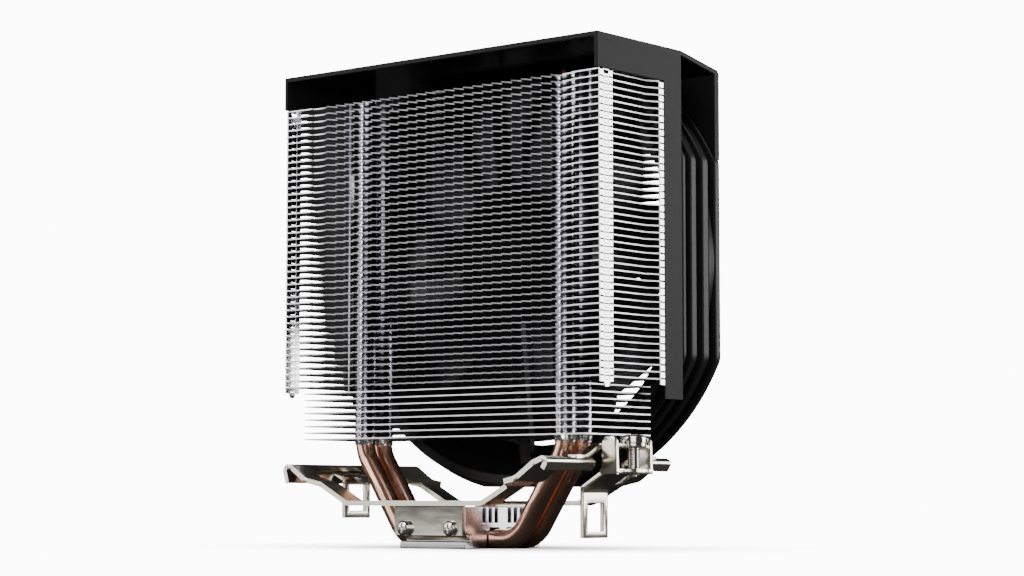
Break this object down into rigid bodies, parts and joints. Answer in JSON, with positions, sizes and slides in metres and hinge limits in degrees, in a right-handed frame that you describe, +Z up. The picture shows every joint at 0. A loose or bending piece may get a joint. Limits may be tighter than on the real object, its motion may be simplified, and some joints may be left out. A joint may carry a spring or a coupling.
{
  "type": "cpu tower cooler",
  "caption": "Single-tower processor cooler: aluminium fin stack on U-shaped copper heat pipes, black hood and axial fan, and a steel clamping frame with a fixed and a screw-driven hook.",
  "frame": {"origin": "centre of the cold plate's contact face, the face that presses on the processor", "axes": "+Z up along the fin stack, -Y towards the fan's intake, +Y the open rear where air leaves, +X towards the end with the fixed hook"},
  "size_m": [0.129, 0.0757, 0.1488],
  "materials": {
    "polished_aluminium": "polished",
    "fin_aluminium": "satin sheet",
    "copper": "polished copper",
    "nickel_steel": "nickel plated",
    "bright_steel": "bright plated",
    "black_plastic": "satin black moulding",
    "grey_plastic": "dark grey moulding",
    "rubber": "matt",
    "board": "solder resist",
    "laminations": "stacked sheet",
    "windings": "enamelled wire",
    "magnet": "bonded ferrite",
    "bronze": "sintered",
    "white_plastic": "natural"
  },
  "bodies": {
    "cooler_body": {"cold_plate_block": "polished_aluminium", "heat_pipe_rear": "copper", "heat_pipe_front": "copper", "fin_block_01": "fin_aluminium", "fin_block_02": "fin_aluminium", "fin_block_03": "fin_aluminium", "fin_block_04": "fin_aluminium", "fin_block_05": "fin_aluminium", "fin_block_06": "fin_aluminium", "fin_block_07": "fin_aluminium", "fin_block_08": "fin_aluminium", "fin_block_09": "fin_aluminium", "fin_block_10": "fin_aluminium", "fin_block_11": "fin_aluminium", "lower_fin_1": "fin_aluminium", "lower_fin_2": "fin_aluminium", "lower_fin_3": "fin_aluminium", "lower_fin_4": "fin_aluminium", "lower_fin_5": "fin_aluminium", "lower_fin_6": "fin_aluminium", "lower_fin_7": "fin_aluminium", "lower_fin_8": "fin_aluminium", "clamping_frame": "nickel_steel", "base_screw_1": "bright_steel", "base_screw_2": "bright_steel", "base_screw_3": "bright_steel", "base_screw_4": "bright_steel", "hood": "black_plastic", "fan_frame": "black_plastic", "motor_mount": "black_plastic", "rubber_pad_1": "rubber", "rubber_pad_2": "rubber", "rubber_pad_3": "rubber", "rubber_pad_4": "rubber", "bearing_sleeve": "bronze", "circuit_board": "board", "stator_core": "laminations", "coil_1": "windings", "coil_2": "windings", "coil_3": "windings", "coil_4": "windings"},
    "rotor": {"impeller_hub": "grey_plastic", "impeller_blade_1": "grey_plastic", "impeller_blade_2": "grey_plastic", "impeller_blade_3": "grey_plastic", "impeller_blade_4": "grey_plastic", "impeller_blade_5": "grey_plastic", "impeller_blade_6": "grey_plastic", "impeller_blade_7": "grey_plastic", "impeller_blade_8": "grey_plastic", "impeller_blade_9": "grey_plastic", "rotor_yoke": "laminations", "magnet_ring": "magnet", "shaft": "bright_steel", "retaining_washer": "white_plastic"},
    "tension_screw": {"tension_screw": "bright_steel"},
    "moving_hook": {"moving_hook": "nickel_steel"}
  },
  "joints": [
    {"name": "impeller_spin", "type": "hinge", "parent": "cooler_body", "child": "rotor", "pos_m": [0, -0.0325, 0.0868], "axis": [0, 1, 0], "continuous": true},
    {"name": "tension_screw_turn", "type": "hinge", "parent": "cooler_body", "child": "tension_screw", "pos_m": [-0.062, 0, 0.03], "axis": [0, 0, -1], "range_deg": [0, 2984]},
    {"name": "hook_lift", "type": "slide", "parent": "cooler_body", "child": "moving_hook", "axis": [0, 0, 1], "range_m": [0, 0.0058]}
  ],
  "couplings": [
    {"joint": "tension_screw_turn", "follows": "hook_lift", "rad_per_m": 8976}
  ]
}
